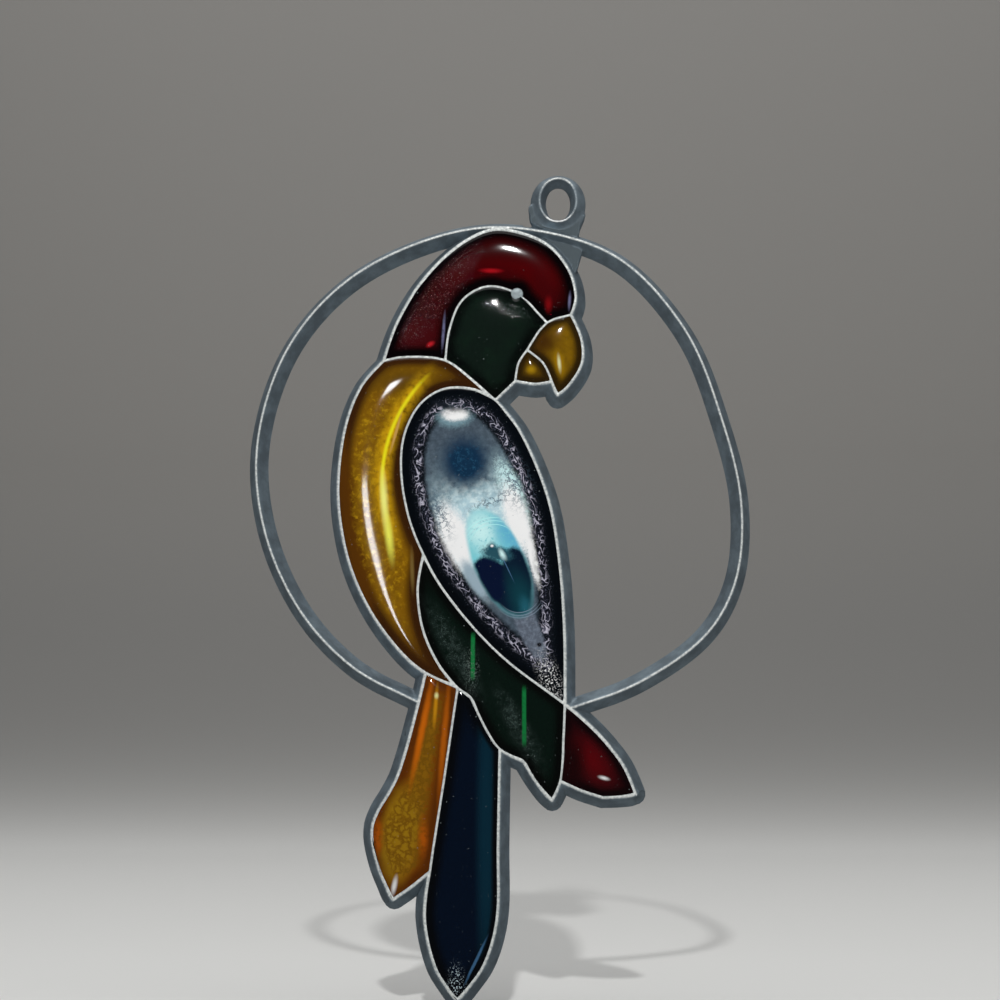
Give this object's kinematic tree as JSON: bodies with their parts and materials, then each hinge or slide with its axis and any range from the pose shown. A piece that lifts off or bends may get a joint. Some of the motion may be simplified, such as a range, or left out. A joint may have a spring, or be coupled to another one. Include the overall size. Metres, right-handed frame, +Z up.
{
  "type": "suncatcher",
  "caption": "Flat hanging suncatcher: a cast metal parrot perched in a hoop with a hanging eye, its cells filled with domed, coloured clear resin.",
  "frame": {"origin": "middle of the hanging eye's hole, at the middle of the casting's thickness", "axes": "+Z up as it hangs, towards the eye; +Y out of the casting's flat back; the domed front looks towards -Y; +X to the right as seen from the front"},
  "size_m": [0.1244, 0.0055, 0.2058],
  "materials": {
    "pewter": "as-cast grey pewter, dark in the slopes and rubbed bright along the crests",
    "deep_red_resin": "clear deep red poured resin, domed and glossy",
    "dark_green_resin": "clear dark green poured resin, domed and glossy",
    "gold_resin": "clear gold poured resin with a mottled body, domed and glossy",
    "blue_wing_resin": "blue poured resin, hazed and milky in the middle with a crackled band round its edge",
    "amber_resin": "clear amber poured resin, crinkled in the middle, glossy",
    "navy_resin": "clear navy blue poured resin, domed and glossy"
  },
  "bodies": {
    "root": {"frame": "pewter", "crown_resin": "deep_red_resin", "face_resin": "dark_green_resin", "upper_beak_resin": "gold_resin", "lower_beak_resin": "gold_resin", "breast_resin": "gold_resin", "wing_resin": "blue_wing_resin", "covert_resin": "dark_green_resin", "red_feather_resin": "deep_red_resin", "amber_tail_resin": "amber_resin", "blue_tail_resin": "navy_resin"}
  },
  "joints": []
}
